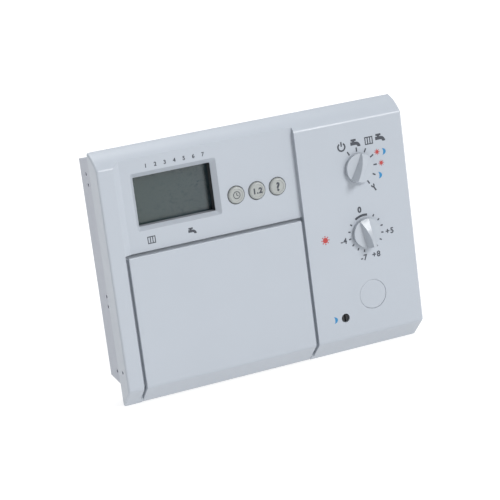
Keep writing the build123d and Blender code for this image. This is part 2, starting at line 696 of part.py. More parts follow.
def make_controller_leads():
    with BuildPart() as leads:
        for step in range(11):
            along = (step - 5) * 1.2
            for side in (-1, 1):
                near, far = sorted((side * 7.0, side * 8.6))
                height = (BOARD_BACK, BOARD_BACK + 0.3)
                block((CHIP_X + near, CHIP_X + far), height, (CHIP_Z + along - 0.25, CHIP_Z + along + 0.25))
                block((CHIP_X + along - 0.25, CHIP_X + along + 0.25), height, (CHIP_Z + near, CHIP_Z + far))
    return leads


def make_crystal():
    with BuildPart() as crystal:
        with BuildSketch(face_plane(BOARD_BACK + 3.5)):
            with Locations((CHIP_X, CHIP_Z + 16)):
                SlotOverall(11, 4.6)
        extrude(amount=3.5)
        fillet(crystal.faces().sort_by(Axis.Y)[-1].edges(), 0.6)
    return crystal


def make_backup_cell():
    with BuildPart() as cell:
        rod(BATTERY_X, BATTERY_Z, (BOARD_BACK + 1, BOARD_BACK + 4.2), 10)
        fillet(cell.faces().sort_by(Axis.Y)[-1].edges(), 0.5)
    return cell


def make_cell_holder():
    """Open ring that holds the backup cell on the board."""
    with BuildPart() as holder:
        rod(BATTERY_X, BATTERY_Z, (BOARD_BACK, BOARD_BACK + 4), 12)
        rod(BATTERY_X, BATTERY_Z, (BOARD_BACK + 1, BOARD_BACK + 5), 10.1, Mode.SUBTRACT)
        gap = (BATTERY_X - 6, BATTERY_X + 6)
        block(gap, (BOARD_BACK + 1, BOARD_BACK + 5), (BATTERY_Z, BATTERY_Z + 13), Mode.SUBTRACT)
    return holder


def make_capacitors():
    with BuildPart() as capacitors:
        for x, z, radius in CAPACITORS:
            rod(x, z, (BOARD_BACK, BOARD_BACK + 7), radius)
        fillet(capacitors.faces().filter_by(Axis.Y).group_by(Axis.Y)[-1].edges(), 0.5)
    return capacitors


def make_resistors():
    """Rows of small surface-mounted resistors."""
    with BuildPart() as resistors:
        with BuildSketch(face_plane(BOARD_BACK + 0.6)):
            with Locations((RESISTOR_X, RESISTOR_Z)):
                with GridLocations(4, 5, 6, 3):
                    Rectangle(2, 1.25)
        extrude(amount=0.6)
    return resistors


def make_terminal_block():
    """Six-way block for the boiler's wires: wire holes below, screw wells in the back."""
    top = TERMINAL_Z + TERMINAL_SIZE[1] / 2
    bottom = TERMINAL_Z - TERMINAL_SIZE[1] / 2
    half = TERMINAL_SIZE[0] / 2
    with BuildPart() as terminal:
        block((-half, half), (BOARD_BACK, TERMINAL_BACK), (bottom, top))
        ridge = terminal.edges().filter_by(Axis.X).group_by(Axis.Y)[-1].sort_by(Axis.Z)[0]
        chamfer(ridge, 1.5)
        with Locations(Plane.XY.offset(bottom)):
            with GridLocations(TERMINAL_PITCH, 1, TERMINAL_WAYS, 1):
                with Locations((0, BOARD_BACK + 2.6, 0)):
                    Cylinder(1.3, 5, align=(Align.CENTER, Align.CENTER, Align.MIN), mode=Mode.SUBTRACT)
        with BuildSketch(face_plane(TERMINAL_BACK)):
            with Locations((0, TERMINAL_Z + 1)):
                with GridLocations(TERMINAL_PITCH, 1, TERMINAL_WAYS, 1):
                    Circle(1.75)
        extrude(amount=3, mode=Mode.SUBTRACT)
    return terminal


def make_terminal_screws():
    head_back = TERMINAL_BACK - 1.2
    with BuildPart() as screws:
        with BuildSketch(face_plane(head_back)):
            with Locations((0, TERMINAL_Z + 1)):
                with GridLocations(TERMINAL_PITCH, 1, TERMINAL_WAYS, 1):
                    Circle(1.65)
        extrude(amount=1.8)
        with BuildSketch(face_plane(head_back)):
            with Locations((0, TERMINAL_Z + 1)):
                with GridLocations(TERMINAL_PITCH, 1, TERMINAL_WAYS, 1):
                    Rectangle(2.6, 0.5)
        extrude(amount=0.7, mode=Mode.SUBTRACT)
    return screws


def write_fixed_pieces():
    write(make_front_cover(), "front_cover")
    write(make_rear_housing(), "rear_housing")
    write(make_blanking_plug(), "blanking_plug")
    write(make_display_seal(), "display_seal")
    write(make_display_window(), "display_window")
    write(make_display_cell(), "display_cell")
    write(make_display_carrier(), "display_carrier")
    write(make_contact_strips(), "contact_strips")
    write(make_board(), "circuit_board")
    write(make_board_screws(), "board_screws")
    write(make_case_screws(), "case_screws")
    write(make_controller(), "controller_chip")
    write(make_controller_leads(), "controller_leads")
    write(make_crystal(), "clock_crystal")
    write(make_backup_cell(), "backup_cell")
    write(make_cell_holder(), "backup_cell_holder")
    write(make_capacitors(), "capacitors")
    write(make_resistors(), "resistors")
    write(make_terminal_block(), "terminal_block")
    write(make_terminal_screws(), "terminal_screws")
    write(make_turn_switch(MODE_Z, 15, False), "mode_switch_body")
    write(make_turn_switch(OFFSET_Z, 17, True), "offset_potentiometer_body")
    write(make_adjuster_body(), "night_adjuster_body")
    write(make_switch_bodies([(x, BUTTON_Z) for x in BUTTON_X]), "button_switch_bodies")
    write(make_switch_bodies([(x, z) for x in KEY_X for z in KEY_Z]), "key_switch_bodies")


def write_moving_pieces():
    write(make_door(), "door")
    write(make_hinge_pins(), "door_hinge_pins")
    write(make_dial(MODE_Z, MODE_ANGLE), "mode_dial")
    write(make_shaft(MODE_Z), "mode_shaft")
    write(make_dial(OFFSET_Z, OFFSET_ANGLE), "offset_dial")
    write(make_shaft(OFFSET_Z), "offset_shaft")
    write(make_adjuster(), "night_adjuster")
    button = (PANEL_FRONT, PANEL_BACK, BUTTON_RADIUS, BUTTON_PROUD, BUTTON_FLANGE_RADIUS)
    for x, name in zip(BUTTON_X, BUTTON_NAMES):
        write(make_push_cap(x, BUTTON_Z, *button), f"{name}_button")
        write(make_plunger(x, BUTTON_Z), f"{name}_button_plunger")
    key = (WELL_FLOOR, WELL_BACK, KEY_RADIUS, KEY_PROUD, KEY_FLANGE_RADIUS)
    places = [(x, z) for z in KEY_Z for x in KEY_X]
    for (x, z), name in zip(places, KEY_NAMES):
        write(make_push_cap(x, z, *key), f"{name}_key")
        write(make_plunger(x, z), f"{name}_key_plunger")


os.makedirs("parts", exist_ok=True)
write_fixed_pieces()
write_moving_pieces()
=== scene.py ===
import json
from math import cos, pi, radians, sin

import bmesh
import bpy
from mathutils import Matrix, Vector


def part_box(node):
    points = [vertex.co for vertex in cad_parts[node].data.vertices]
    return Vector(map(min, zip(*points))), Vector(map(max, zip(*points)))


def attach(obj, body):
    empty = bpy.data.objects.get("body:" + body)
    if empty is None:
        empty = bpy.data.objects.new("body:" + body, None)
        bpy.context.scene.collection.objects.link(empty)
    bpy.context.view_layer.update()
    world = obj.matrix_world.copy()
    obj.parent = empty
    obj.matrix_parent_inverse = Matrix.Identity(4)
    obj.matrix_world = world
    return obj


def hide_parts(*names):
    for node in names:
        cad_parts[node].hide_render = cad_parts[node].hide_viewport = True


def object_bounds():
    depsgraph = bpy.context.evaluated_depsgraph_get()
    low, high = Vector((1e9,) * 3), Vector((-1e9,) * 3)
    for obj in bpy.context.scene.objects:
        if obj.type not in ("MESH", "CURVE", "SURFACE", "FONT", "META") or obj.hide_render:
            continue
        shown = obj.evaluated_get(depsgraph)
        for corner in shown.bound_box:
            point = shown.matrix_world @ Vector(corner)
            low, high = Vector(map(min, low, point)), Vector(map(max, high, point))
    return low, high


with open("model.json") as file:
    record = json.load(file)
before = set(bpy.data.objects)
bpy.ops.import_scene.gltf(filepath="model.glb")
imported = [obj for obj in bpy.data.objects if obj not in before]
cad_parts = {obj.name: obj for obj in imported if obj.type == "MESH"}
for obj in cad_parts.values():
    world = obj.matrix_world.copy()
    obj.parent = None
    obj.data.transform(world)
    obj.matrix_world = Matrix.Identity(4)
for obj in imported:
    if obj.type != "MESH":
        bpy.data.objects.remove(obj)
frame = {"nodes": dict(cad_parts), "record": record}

CAD_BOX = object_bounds()
MM = 0.001


def middle(node):
    """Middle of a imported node's box."""
    low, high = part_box(node)
    return (low + high) / 2


# Depths of the cover's face, the display panel and the floor of the well behind the door
FACE = -30.0 * MM
PANEL = FACE + 2.4 * MM
WELL_FLOOR = FACE + 9 * MM

# Print: how far it stands up from its surface and goes down into it, and its numerals
INK_HEIGHT = 0.05 * MM
INK_ROOT = 0.05 * MM
NUMERAL_SHARE = 0.70
LETTER_SPACING = 1.15

# Round scales: the middle of their marks, and degrees between marks
SCALE_RADIUS = 10.3
MODE_STEP = 30
OFFSET_STEP = 22.4
OFFSET_ZERO = -11.2

# Caps of the buttons and setting keys
BUTTON_CAP_RADIUS = 4.7 * MM
KEY_CAP_RADIUS = 4.0 * MM
CAP_DISH = 0.3 * MM
CAP_EDGE = 1.2 * MM
PANEL_WALL = 2.0 * MM
WELL_WALL = 1.8 * MM
FLANGE_GAP = 0.2 * MM
FLANGE_THICKNESS = 0.9 * MM
STEM_RADIUS = 1.9 * MM

# Polarizing film on the display
FILM_INSET = 1.3
FILM_CORNER = 1.2
FILM_HALF_THICKNESS = 0.04 * MM
FILM_STAND_OFF = 0.05 * MM

# Camera: where it stands, how it is turned in degrees, and its lens and sensor in millimetres
CAMERA_PLACE = Vector((-0.3829, -0.9286, 0.2181))
CAMERA_YAW = 22.52
CAMERA_PITCH = 12.76
CAMERA_ROLL = -7.46
CAMERA_LENS = 133.0
CAMERA_SENSOR = 36

# Suns: direction, strength, softness in degrees and colour
SUNS = {
    "key_light": ((-0.42, 0.74, -0.53), 2.2, 26, (1.0, 0.99, 0.98)),
    "side_light": ((0.88, -0.35, -0.32), 0.3, 40, (1, 1, 1)),
    "top_light": ((0.0, -0.30, -0.95), 1.6, 40, (1, 1, 1)),
}
ROOM_COLOUR = (0.97, 0.985, 1.0)
ROOM_STRENGTH = 0.40
FLOOR_REACH = 14.0
FLOOR_DROP = 0.2 * MM
FLOOR_COLOUR = (0.35, 0.35, 0.35)
FLOOR_GLOW = 0.72

# Colours in linear light
COVER_COLOUR = (0.406, 0.443, 0.494)
HOUSING_COLOUR = (0.400, 0.425, 0.480)
DIAL_COLOUR = (0.412, 0.448, 0.495)
CAP_COLOUR = (0.345, 0.365, 0.360)
BLACK = (0.012, 0.013, 0.016)
FOAM = (0.022, 0.025, 0.028)
# Painted light: paler colour for the foam's faces that look up, standing in for the light that
# falls on them from above
PAINTED_TOP_LIGHT = (0.210, 0.228, 0.262)
NYLON = (0.68, 0.66, 0.58)
SWITCH_BLACK = (0.014, 0.014, 0.016)
TERMINAL_GREEN = (0.02, 0.09, 0.04)
SLEEVE_BLUE = (0.012, 0.016, 0.045)
ZINC = (0.60, 0.60, 0.58)
TIN = (0.74, 0.74, 0.72)
CRYSTAL_LEFT = (0.048, 0.082, 0.080)
CRYSTAL_RIGHT = (0.053, 0.080, 0.098)
MASK_GREENS = ((0.010, 0.085, 0.040), (0.014, 0.100, 0.048))
TRACK_GREEN = (0.030, 0.170, 0.080)
CARBON_LAYER = (0.03, 0.03, 0.03)
RUBBER_LAYER = (0.45, 0.42, 0.40)
PANE_TINT = (0.90, 0.93, 0.93)
GREY_INK = (0.048, 0.055, 0.070)
RED_INK = (0.40, 0.045, 0.042)
BLUE_INK = (0.020, 0.200, 0.420)


# ---------------------------------------------------------------- materials

# Sockets of the mix node that hold colours: they share their names with its other sockets
MIX_SHARE = 0
MIX_FIRST = 6
MIX_SECOND = 7
MIX_RESULT = 2


class Recipe:
    """Node material with object coordinates and a Principled shader."""

    def __init__(self, name, roughness, metallic=0.0):
        self.material = bpy.data.materials.new(name)
        self.material.use_nodes = True
        self.nodes = self.material.node_tree.nodes
        self.links = self.material.node_tree.links
        self.shader = self.nodes["Principled BSDF"]
        self.shader.inputs["Roughness"].default_value = roughness
        self.shader.inputs["Metallic"].default_value = metallic
        self.place = self.nodes.new("ShaderNodeTexCoord").outputs["Object"]

    def stretched(self, x, y, z):
        """Object coordinates scaled by axis, for brushed or woven grain."""
        mapping = self.nodes.new("ShaderNodeMapping")
        mapping.inputs["Scale"].default_value = (x, y, z)
        self.links.new(self.place, mapping.inputs["Vector"])
        return mapping.outputs["Vector"]

    def noise(self, size, detail=3.0, place=None):
        """Noise whose spots are about the given size."""
        noise = self.nodes.new("ShaderNodeTexNoise")
        noise.inputs["Scale"].default_value = 1 / size
        noise.inputs["Detail"].default_value = detail
        self.links.new(place or self.place, noise.inputs["Vector"])
        return noise.outputs["Fac"]

    def spread(self, value, low, high):
        """Value from 0.3 to 0.7, as noise gives, spread between low and high."""
        spread = self.nodes.new("ShaderNodeMapRange")
        spread.inputs["From Min"].default_value = 0.3
        spread.inputs["From Max"].default_value = 0.7
        spread.inputs["To Min"].default_value = low
        spread.inputs["To Max"].default_value = high
        self.links.new(value, spread.inputs["Value"])
        return spread.outputs["Result"]

    def blend(self, value, first, second):
        """Colour between two. The first is a colour, or a socket that gives one."""
        mix = self.nodes.new("ShaderNodeMix")
        mix.data_type = "RGBA"
        if isinstance(first, bpy.types.NodeSocket):
            self.links.new(first, mix.inputs[MIX_FIRST])
        else:
            mix.inputs[MIX_FIRST].default_value = (*first, 1)
        mix.inputs[MIX_SECOND].default_value = (*second, 1)
        self.links.new(value, mix.inputs[MIX_SHARE])
        return mix.outputs[MIX_RESULT]

    def shade(self, value, colour, change):
        """Colour that varies a little either way with the value."""
        darker = tuple(c * (1 - change) for c in colour)
        lighter = tuple(min(1, c * (1 + change)) for c in colour)
        return self.blend(value, darker, lighter)

    def paint(self, colour):
        """Give the shader its colour."""
        self.links.new(colour, self.shader.inputs["Base Color"])

    def rough(self, value, low, high):
        """Roughness between low and high."""
        self.links.new(self.spread(value, low, high), self.shader.inputs["Roughness"])

    def bump(self, value, height):
        """Relief of the given height in metres."""
        bump = self.nodes.new("ShaderNodeBump")
        bump.inputs["Distance"].default_value = height
        bump.inputs["Strength"].default_value = 1.0
        self.links.new(value, bump.inputs["Height"])
        self.links.new(bump.outputs["Normal"], self.shader.inputs["Normal"])


def moulded(name, colour, roughness=0.42, grain=0.3 * MM, relief=0.006 * MM, change=0.02):
    """Moulded plastic: spark-eroded grain, slow colour drift and uneven gloss."""
    recipe = Recipe(name, roughness)
    recipe.paint(recipe.shade(recipe.noise(28 * MM, 2), colour, change))
    recipe.rough(recipe.noise(6 * MM), roughness - 0.04, roughness + 0.05)
    recipe.bump(recipe.noise(grain, 4), relief)
    return recipe.material


def ink(name, colour):
    """Screen-printed ink: faintly uneven cover and a slight sheen."""
    recipe = Recipe(name, 0.5)
    recipe.paint(recipe.shade(recipe.noise(0.35 * MM), colour, 0.12))
    recipe.rough(recipe.noise(0.5 * MM), 0.42, 0.6)
    recipe.bump(recipe.noise(0.12 * MM), 0.004 * MM)
    return recipe.material


def metal(name, colour, roughness, streak=(1, 1, 1)):
    """Plated metal with fine streaks and small spots of wear."""
    recipe = Recipe(name, roughness, 1.0)
    grain = recipe.noise(0.25 * MM, 5, recipe.stretched(*streak))
    recipe.paint(recipe.shade(recipe.noise(3 * MM), colour, 0.08))
    recipe.rough(grain, roughness - 0.08, roughness + 0.12)
    recipe.bump(grain, 0.004 * MM)
    return recipe.material


def clear_pane(name):
    """Clear window: lets light straight through and mirrors a little of the room."""
    recipe = Recipe(name, 0.05)
    recipe.nodes.remove(recipe.shader)
    clear = recipe.nodes.new("ShaderNodeBsdfTransparent")
    clear.inputs["Color"].default_value = (*PANE_TINT, 1)
    mirror = recipe.nodes.new("ShaderNodeBsdfGlossy")
    mirror.inputs["Roughness"].default_value = 0.06
    fresnel = recipe.nodes.new("ShaderNodeFresnel")
    fresnel.inputs["IOR"].default_value = 1.45
    smear = recipe.nodes.new("ShaderNodeBump")
    smear.inputs["Distance"].default_value = 0.01 * MM
    mix = recipe.nodes.new("ShaderNodeMixShader")
    links = recipe.links
    links.new(recipe.noise(9 * MM, 2), smear.inputs["Height"])
    links.new(smear.outputs["Normal"], mirror.inputs["Normal"])
    links.new(fresnel.outputs["Fac"], mix.inputs["Fac"])
    links.new(clear.outputs["BSDF"], mix.inputs[1])
    links.new(mirror.outputs["BSDF"], mix.inputs[2])
    links.new(mix.outputs["Shader"], recipe.nodes["Material Output"].inputs["Surface"])
    return recipe.material


def liquid_crystal(name):
    """Unlit liquid crystal behind its polarizer: grey-green on the left, blue-grey on the right."""
    recipe = Recipe(name, 0.3)
    low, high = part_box("display_cell")
    split = recipe.nodes.new("ShaderNodeSeparateXYZ")
    recipe.links.new(recipe.place, split.inputs["Vector"])
    across = recipe.nodes.new("ShaderNodeMapRange")
    across.inputs["From Min"].default_value = low.x
    across.inputs["From Max"].default_value = high.x
    recipe.links.new(split.outputs["X"], across.inputs["Value"])
    drift = recipe.nodes.new("ShaderNodeMath")
    drift.operation = "MULTIPLY"
    recipe.links.new(across.outputs["Result"], drift.inputs[0])
    recipe.links.new(recipe.spread(recipe.noise(14 * MM, 1), 0.75, 1.25), drift.inputs[1])
    recipe.paint(recipe.blend(drift.outputs["Value"], CRYSTAL_LEFT, CRYSTAL_RIGHT))
    recipe.rough(recipe.noise(2 * MM), 0.26, 0.36)
    return recipe.material


def foam(name, colour):
    """Closed-cell foam: fine pits and a dull surface, with painted light: a paler colour on the
    side that faces up, where the light from above falls.
    """
    recipe = Recipe(name, 0.8)
    cells = recipe.nodes.new("ShaderNodeTexVoronoi")
    cells.inputs["Scale"].default_value = 1 / (0.25 * MM)
    recipe.links.new(recipe.place, cells.inputs["Vector"])
    geometry = recipe.nodes.new("ShaderNodeNewGeometry")
    facing = recipe.nodes.new("ShaderNodeSeparateXYZ")
    recipe.links.new(geometry.outputs["Normal"], facing.inputs["Vector"])
    foam_colour = recipe.shade(cells.outputs["Distance"], colour, 0.3)
    # Painted highlight: the more a face looks up, the paler it is painted, as if lit from above
    recipe.paint(recipe.blend(recipe.spread(facing.outputs["Z"], 0, 1), foam_colour, PAINTED_TOP_LIGHT))
    recipe.bump(cells.outputs["Distance"], 0.03 * MM)
    return recipe.material


def board_laminate(name):
    """Green solder mask over woven glass, with brighter tracks showing through."""
    recipe = Recipe(name, 0.35)
    weave = recipe.noise(0.5 * MM, 2, recipe.stretched(1, 1, 6))
    tracks = recipe.nodes.new("ShaderNodeTexBrick")
    tracks.inputs["Color1"].default_value = (*MASK_GREENS[0], 1)
    tracks.inputs["Color2"].default_value = (*MASK_GREENS[1], 1)
    tracks.inputs["Mortar"].default_value = (*TRACK_GREEN, 1)
    tracks.inputs["Scale"].default_value = 1 / (14 * MM)
    tracks.inputs["Mortar Size"].default_value = 0.02
    upright = recipe.nodes.new("ShaderNodeMapping")
    upright.inputs["Rotation"].default_value = (radians(90), 0, 0)
    recipe.links.new(recipe.place, upright.inputs["Vector"])
    recipe.links.new(upright.outputs["Vector"], tracks.inputs["Vector"])
    recipe.paint(tracks.outputs["Color"])
    recipe.rough(weave, 0.3, 0.45)
    recipe.bump(weave, 0.01 * MM)
    return recipe.material


def contact_rubber(name):
    """Layered rubber strip: thin dark and pale layers in turn."""
    recipe = Recipe(name, 0.7)
    layers = recipe.noise(0.2 * MM, 0, recipe.stretched(1, 0.01, 0.01))
    recipe.paint(recipe.blend(recipe.spread(layers, 0, 1), CARBON_LAYER, RUBBER_LAYER))
    recipe.bump(layers, 0.02 * MM)
    return recipe.material


MATERIALS = {
    "casing_plastic": moulded("cover_moulding", COVER_COLOUR, roughness=0.33),
    "housing_plastic": moulded("housing_moulding", HOUSING_COLOUR, roughness=0.5, grain=0.45 * MM),
    "dial_plastic": moulded("dial_moulding", DIAL_COLOUR, roughness=0.22, grain=0.25 * MM,
                            relief=0.002 * MM),
    "button_plastic": moulded("cap_moulding", CAP_COLOUR, roughness=0.36, grain=0.2 * MM,
                              relief=0.003 * MM),
    "shaft_plastic": moulded("natural_nylon", NYLON, roughness=0.4, grain=0.4 * MM,
                             relief=0.008 * MM, change=0.04),
    "black_plastic": moulded("black_moulding", BLACK, roughness=0.4, grain=0.15 * MM, change=0.2),
    "switch_plastic": moulded("switch_moulding", SWITCH_BLACK, roughness=0.45, relief=0.01 * MM),
    "terminal_plastic": moulded("terminal_moulding", TERMINAL_GREEN, roughness=0.4,
                                grain=0.5 * MM, relief=0.01 * MM),
    "display_window": clear_pane("clear_window"),
    "display_glass": liquid_crystal("liquid_crystal"),
    "contact_rubber": contact_rubber("contact_rubber"),
    "seal_foam": foam("seal_foam", FOAM),
    "circuit_board": board_laminate("board_laminate"),
    "steel": metal("zinc_plate", ZINC, roughness=0.32, streak=(1, 6, 1)),
    "tin": metal("tin_plate", TIN, roughness=0.25),
    "capacitor_sleeve": moulded("sleeve", SLEEVE_BLUE, roughness=0.25, grain=1.5 * MM,
                                relief=0.02 * MM, change=0.15),
}
INKS = {
    "grey": ink("grey_ink", GREY_INK),
    "red": ink("red_ink", RED_INK),
    "blue": ink("blue_ink", BLUE_INK),
}


def paint_nodes():
    """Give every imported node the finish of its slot."""
    for entry in frame["record"]["subparts"]:
        node = frame["nodes"][entry["node"]]
        node.data.materials.clear()
        node.data.materials.append(MATERIALS[entry["material_slot"]])


# ---------------------------------------------------------------- meshes

def add_object(name, bm, material, body, smooth_angle=35):
    """Make an object of a bmesh, finish it and let it ride on a body."""
    bmesh.ops.recalc_face_normals(bm, faces=bm.faces)
    mesh = bpy.data.meshes.new(name)
    bm.to_mesh(mesh)
    bm.free()
    mesh.shade_smooth()
    mesh.set_sharp_from_angle(angle=radians(smooth_angle))
    mesh.materials.append(material)
    piece = bpy.data.objects.new(name, mesh)
    bpy.context.scene.collection.objects.link(piece)
    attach(piece, body)
    return piece


def on_circle(x, z, radius, angle):
    """Point on a circle, with the angle clockwise from the top as seen from the front."""
    return x + radius * sin(radians(angle)), z + radius * cos(radians(angle))


class Print:
    """Thin raised layer on a surface that faces the front.

    What is drawn on it is in millimetres. Its height, root and place are in metres.
    """

    def __init__(self, height=INK_HEIGHT, root=INK_ROOT):
        self.bm = bmesh.new()
        self.height = height
        self.root = root

    def _ring_of(self, loop, height):
        return [self.bm.verts.new((x * MM, z * MM, height)) for x, z in loop]

    def shape(self, loop):
        """Filled outline."""
        top = self._ring_of(loop, self.height)
        root = self._ring_of(loop, -self.root)
        self.bm.faces.new(top)
        self.bm.faces.new(root[::-1])
        for i in range(len(loop)):
            j = (i + 1) % len(loop)
            self.bm.faces.new((root[i], root[j], top[j], top[i]))

    def bar(self, start, end, width):
        """Straight stroke with square ends."""
        (x0, z0), (x1, z1) = start, end
        along = Vector((x1 - x0, z1 - z0)).normalized() * width / 2
        side = (-along.y, along.x)
        self.shape([
            (x0 - side[0], z0 - side[1]),
            (x1 - side[0], z1 - side[1]),
            (x1 + side[0], z1 + side[1]),
            (x0 + side[0], z0 + side[1]),
        ])

    def arc(self, x, z, radius, width, start=0, end=360, steps=40):
        """Curved stroke, or a whole ring."""
        angles = [start + (end - start) * i / steps for i in range(steps + 1)]
        outer = [on_circle(x, z, radius + width / 2, a) for a in angles]
        inner = [on_circle(x, z, radius - width / 2, a) for a in angles]
        if end - start < 360:
            self.shape(outer + inner[::-1])
            return
        loops = [self._ring_of(loop[:-1], h)
                 for h in (-self.root, self.height) for loop in (outer, inner)]
        root_out, root_in, top_out, top_in = loops
        for i in range(steps):
            j = (i + 1) % steps
            self.bm.faces.new((top_out[i], top_out[j], top_in[j], top_in[i]))
            self.bm.faces.new((root_in[i], root_in[j], root_out[j], root_out[i]))
            self.bm.faces.new((root_out[i], root_out[j], top_out[j], top_out[i]))
            self.bm.faces.new((top_in[i], top_in[j], root_in[j], root_in[i]))

    def disc(self, x, z, radius, steps=40):
        """Filled circle."""
        self.shape([on_circle(x, z, radius, 360 * i / steps) for i in range(steps)])

    def text(self, words, x, z, height, weight=0.05):
        """Plain numerals and signs, centred on a point."""
        curve = bpy.data.curves.new("words", "FONT")
        curve.body = words
        curve.size = height * MM / NUMERAL_SHARE
        curve.align_x = "CENTER"
        curve.space_character = LETTER_SPACING
        curve.extrude = (self.height + self.root) / 2
        curve.offset = weight * MM
        holder = bpy.data.objects.new("words", curve)
        bpy.context.scene.collection.objects.link(holder)
        bpy.context.view_layer.update()
        mesh = bpy.data.meshes.new_from_object(holder)
        shift = Vector((x * MM, (z - height / 2) * MM, (self.height - self.root) / 2))
        mesh.transform(Matrix.Translation(shift))
        self.bm.from_mesh(mesh)
        bpy.data.objects.remove(holder)
        bpy.data.curves.remove(curve)
        bpy.data.meshes.remove(mesh)

    def place(self, name, finish, body="casing", x=0.0, z=0.0, depth=FACE):
        """Stand the layer on its surface, with its origin at x and z in metres."""
        turn = Matrix(((1, 0, 0), (0, 0, -1), (0, 1, 0))).to_4x4()
        bmesh.ops.transform(self.bm, matrix=Matrix.Translation((x, depth, z)) @ turn,
                            verts=self.bm.verts)
        return add_object(name, self.bm, INKS.get(finish) or MATERIALS[finish], body)


def draw_tap(ink_layer, x, z, size):
    """Water tap: pipe, curved spout, stem and handle. Its shape is in shares of its size."""
    def at(across, up):
        return x + across * size, z + up * size

    pipe, bend = 0.31 * size, 0.03
    ink_layer.bar(at(-0.50, -0.02), at(bend, -0.02), pipe)
    ink_layer.arc(*at(bend, -0.36), 0.34 * size, pipe, 0, 90, 12)
    ink_layer.bar(at(-0.18, 0.135), at(-0.18, 0.205), 0.24 * size)
    ink_layer.bar(at(-0.44, 0.30), at(0.10, 0.30), 0.19 * size)


def draw_radiator(ink_layer, x, z, width, height, stroke=0.5, fins=4):
    """Radiator: top and bottom rails with upright fins between them."""
    for side in (-1, 1):
        rail = z + side * (height - stroke) / 2
        ink_layer.bar((x - width / 2, rail), (x + width / 2, rail), stroke)
    inner = height / 2 - stroke
    for i in range(fins):
        fin = x - (width - stroke) / 2 + (width - stroke) * i / (fins - 1)
        ink_layer.bar((fin, z - inner), (fin, z + inner), stroke)


def draw_sun(ink_layer, x, z, radius):
    """Sun: a disc with eight rays that stand clear of it."""
    ink_layer.disc(x, z, radius * 0.62)
    for angle in range(0, 360, 45):
        start = on_circle(x, z, radius * 0.72, angle)
        end = on_circle(x, z, radius, angle)
        ink_layer.bar(start, end, radius * 0.24)


def draw_moon(ink_layer, x, z, radius, steps=20):
    """Crescent moon between two bulges to the right."""
    outer_bulge, inner_bulge = radius * 1.3, radius * 0.45
    angles = [pi * i / steps for i in range(steps + 1)]
    outer = [(x + outer_bulge * sin(a), z + radius * cos(a)) for a in angles]
    inner = [(x + inner_bulge * sin(a), z + radius * cos(a)) for a in angles[-2:0:-1]]
    ink_layer.shape(outer + inner)


def draw_power(ink_layer, x, z, radius):
    """Standby sign: a ring open at the top, and an upright stroke in the gap."""
    gap = 32
    ink_layer.arc(x, z, radius, 0.9, gap, 360 - gap, 36)
    ink_layer.bar((x, z + radius * 0.15), (x, z + radius * 1.4), 0.85)


def draw_clock(ink_layer, x, z, radius):
    """Clock: a ring, a hand that points up and one at four o'clock that meets it."""
    hand, hour = 0.4, 120
    ink_layer.arc(x, z, radius, 0.42)
    ink_layer.bar((x, z - hand / 2), (x, z + radius * 0.7), hand)
    ink_layer.bar(on_circle(x, z, 0.23, hour), on_circle(x, z, radius * 0.6, hour), hand)


def draw_spanner(ink_layer, x, z, size, angle):
    """Service sign: a spanner with an open jaw."""
    head = on_circle(x, z, size * 0.32, angle)
    tail = on_circle(x, z, size * 0.52, angle + 180)
    neck = on_circle(x, z, size * 0.06, angle)
    ink_layer.bar(tail, neck, size * 0.21)
    ink_layer.arc(*head, size * 0.18, size * 0.19, angle + 45, angle + 315, 24)


def draw_minus(ink_layer, x, z, reach, stroke=0.5):
    ink_layer.bar((x - reach, z), (x + reach, z), stroke)


def draw_plus(ink_layer, x, z, reach, stroke=0.5):
    """Plus sign, with its upright in two halves that meet the level stroke."""
    draw_minus(ink_layer, x, z, reach, stroke)
    for side in (1, -1):
        ink_layer.bar((x, z + side * stroke / 2), (x, z + side * reach), stroke)


def draw_ticks(ink_layer, x, z, radius, length, width, angles):
    """Marks across a circle at the given angles."""
    for angle in angles:
        start = on_circle(x, z, radius - length / 2, angle)
        end = on_circle(x, z, radius + length / 2, angle)
        ink_layer.bar(start, end, width)


# ---------------------------------------------------------------- print on the casing

def print_display_panel():
    """Day numbers above the display, and what its marks stand for below."""
    days = Print()
    first, pitch, row = -61.9, 5.45, 54.0
    for day in range(7):
        days.text(str(day + 1), first + pitch * day, row, height=2.1, weight=0.09)
    days.place("day_numbers", "grey", depth=PANEL)
    signs = Print()
    draw_radiator(signs, -64.3, 14.4, width=4.6, height=4.0)
    draw_tap(signs, -40.9, 14.5, size=4.6)
    signs.place("display_signs", "grey", depth=PANEL)


def print_mode_scale():
    """Seven positions of the mode dial, and a sign for each."""
    centre = middle("mode_shaft")
    x, z = centre.x / MM, centre.z / MM
    marks = Print()
    positions = range(-MODE_STEP, 5 * MODE_STEP + 1, MODE_STEP)
    draw_ticks(marks, x, z, SCALE_RADIUS, 2.4, 0.8, positions)
    draw_power(marks, x - 8.9, z + 13.2, radius=2.1)
    draw_tap(marks, x - 0.3, z + 14.0, size=5.9)
    draw_radiator(marks, x + 8.1, z + 13.9, width=5.0, height=4.4, stroke=0.6)
    draw_tap(marks, x + 15.2, z + 14.3, size=5.9)
    draw_spanner(marks, x + 8.2, z - 12.5, size=4.2, angle=-30)
    marks.place("mode_scale", "grey")
    suns = Print()
    draw_sun(suns, x + 12.4, z + 6.7, radius=1.7)
    draw_sun(suns, x + 14.3, z + 0.2, radius=1.7)
    suns.place("mode_day_signs", "red")
    moons = Print()
    draw_moon(moons, x + 15.4, z + 6.3, radius=1.9)
    draw_moon(moons, x + 11.5, z - 6.4, radius=1.9)
    moons.place("mode_night_signs", "blue")


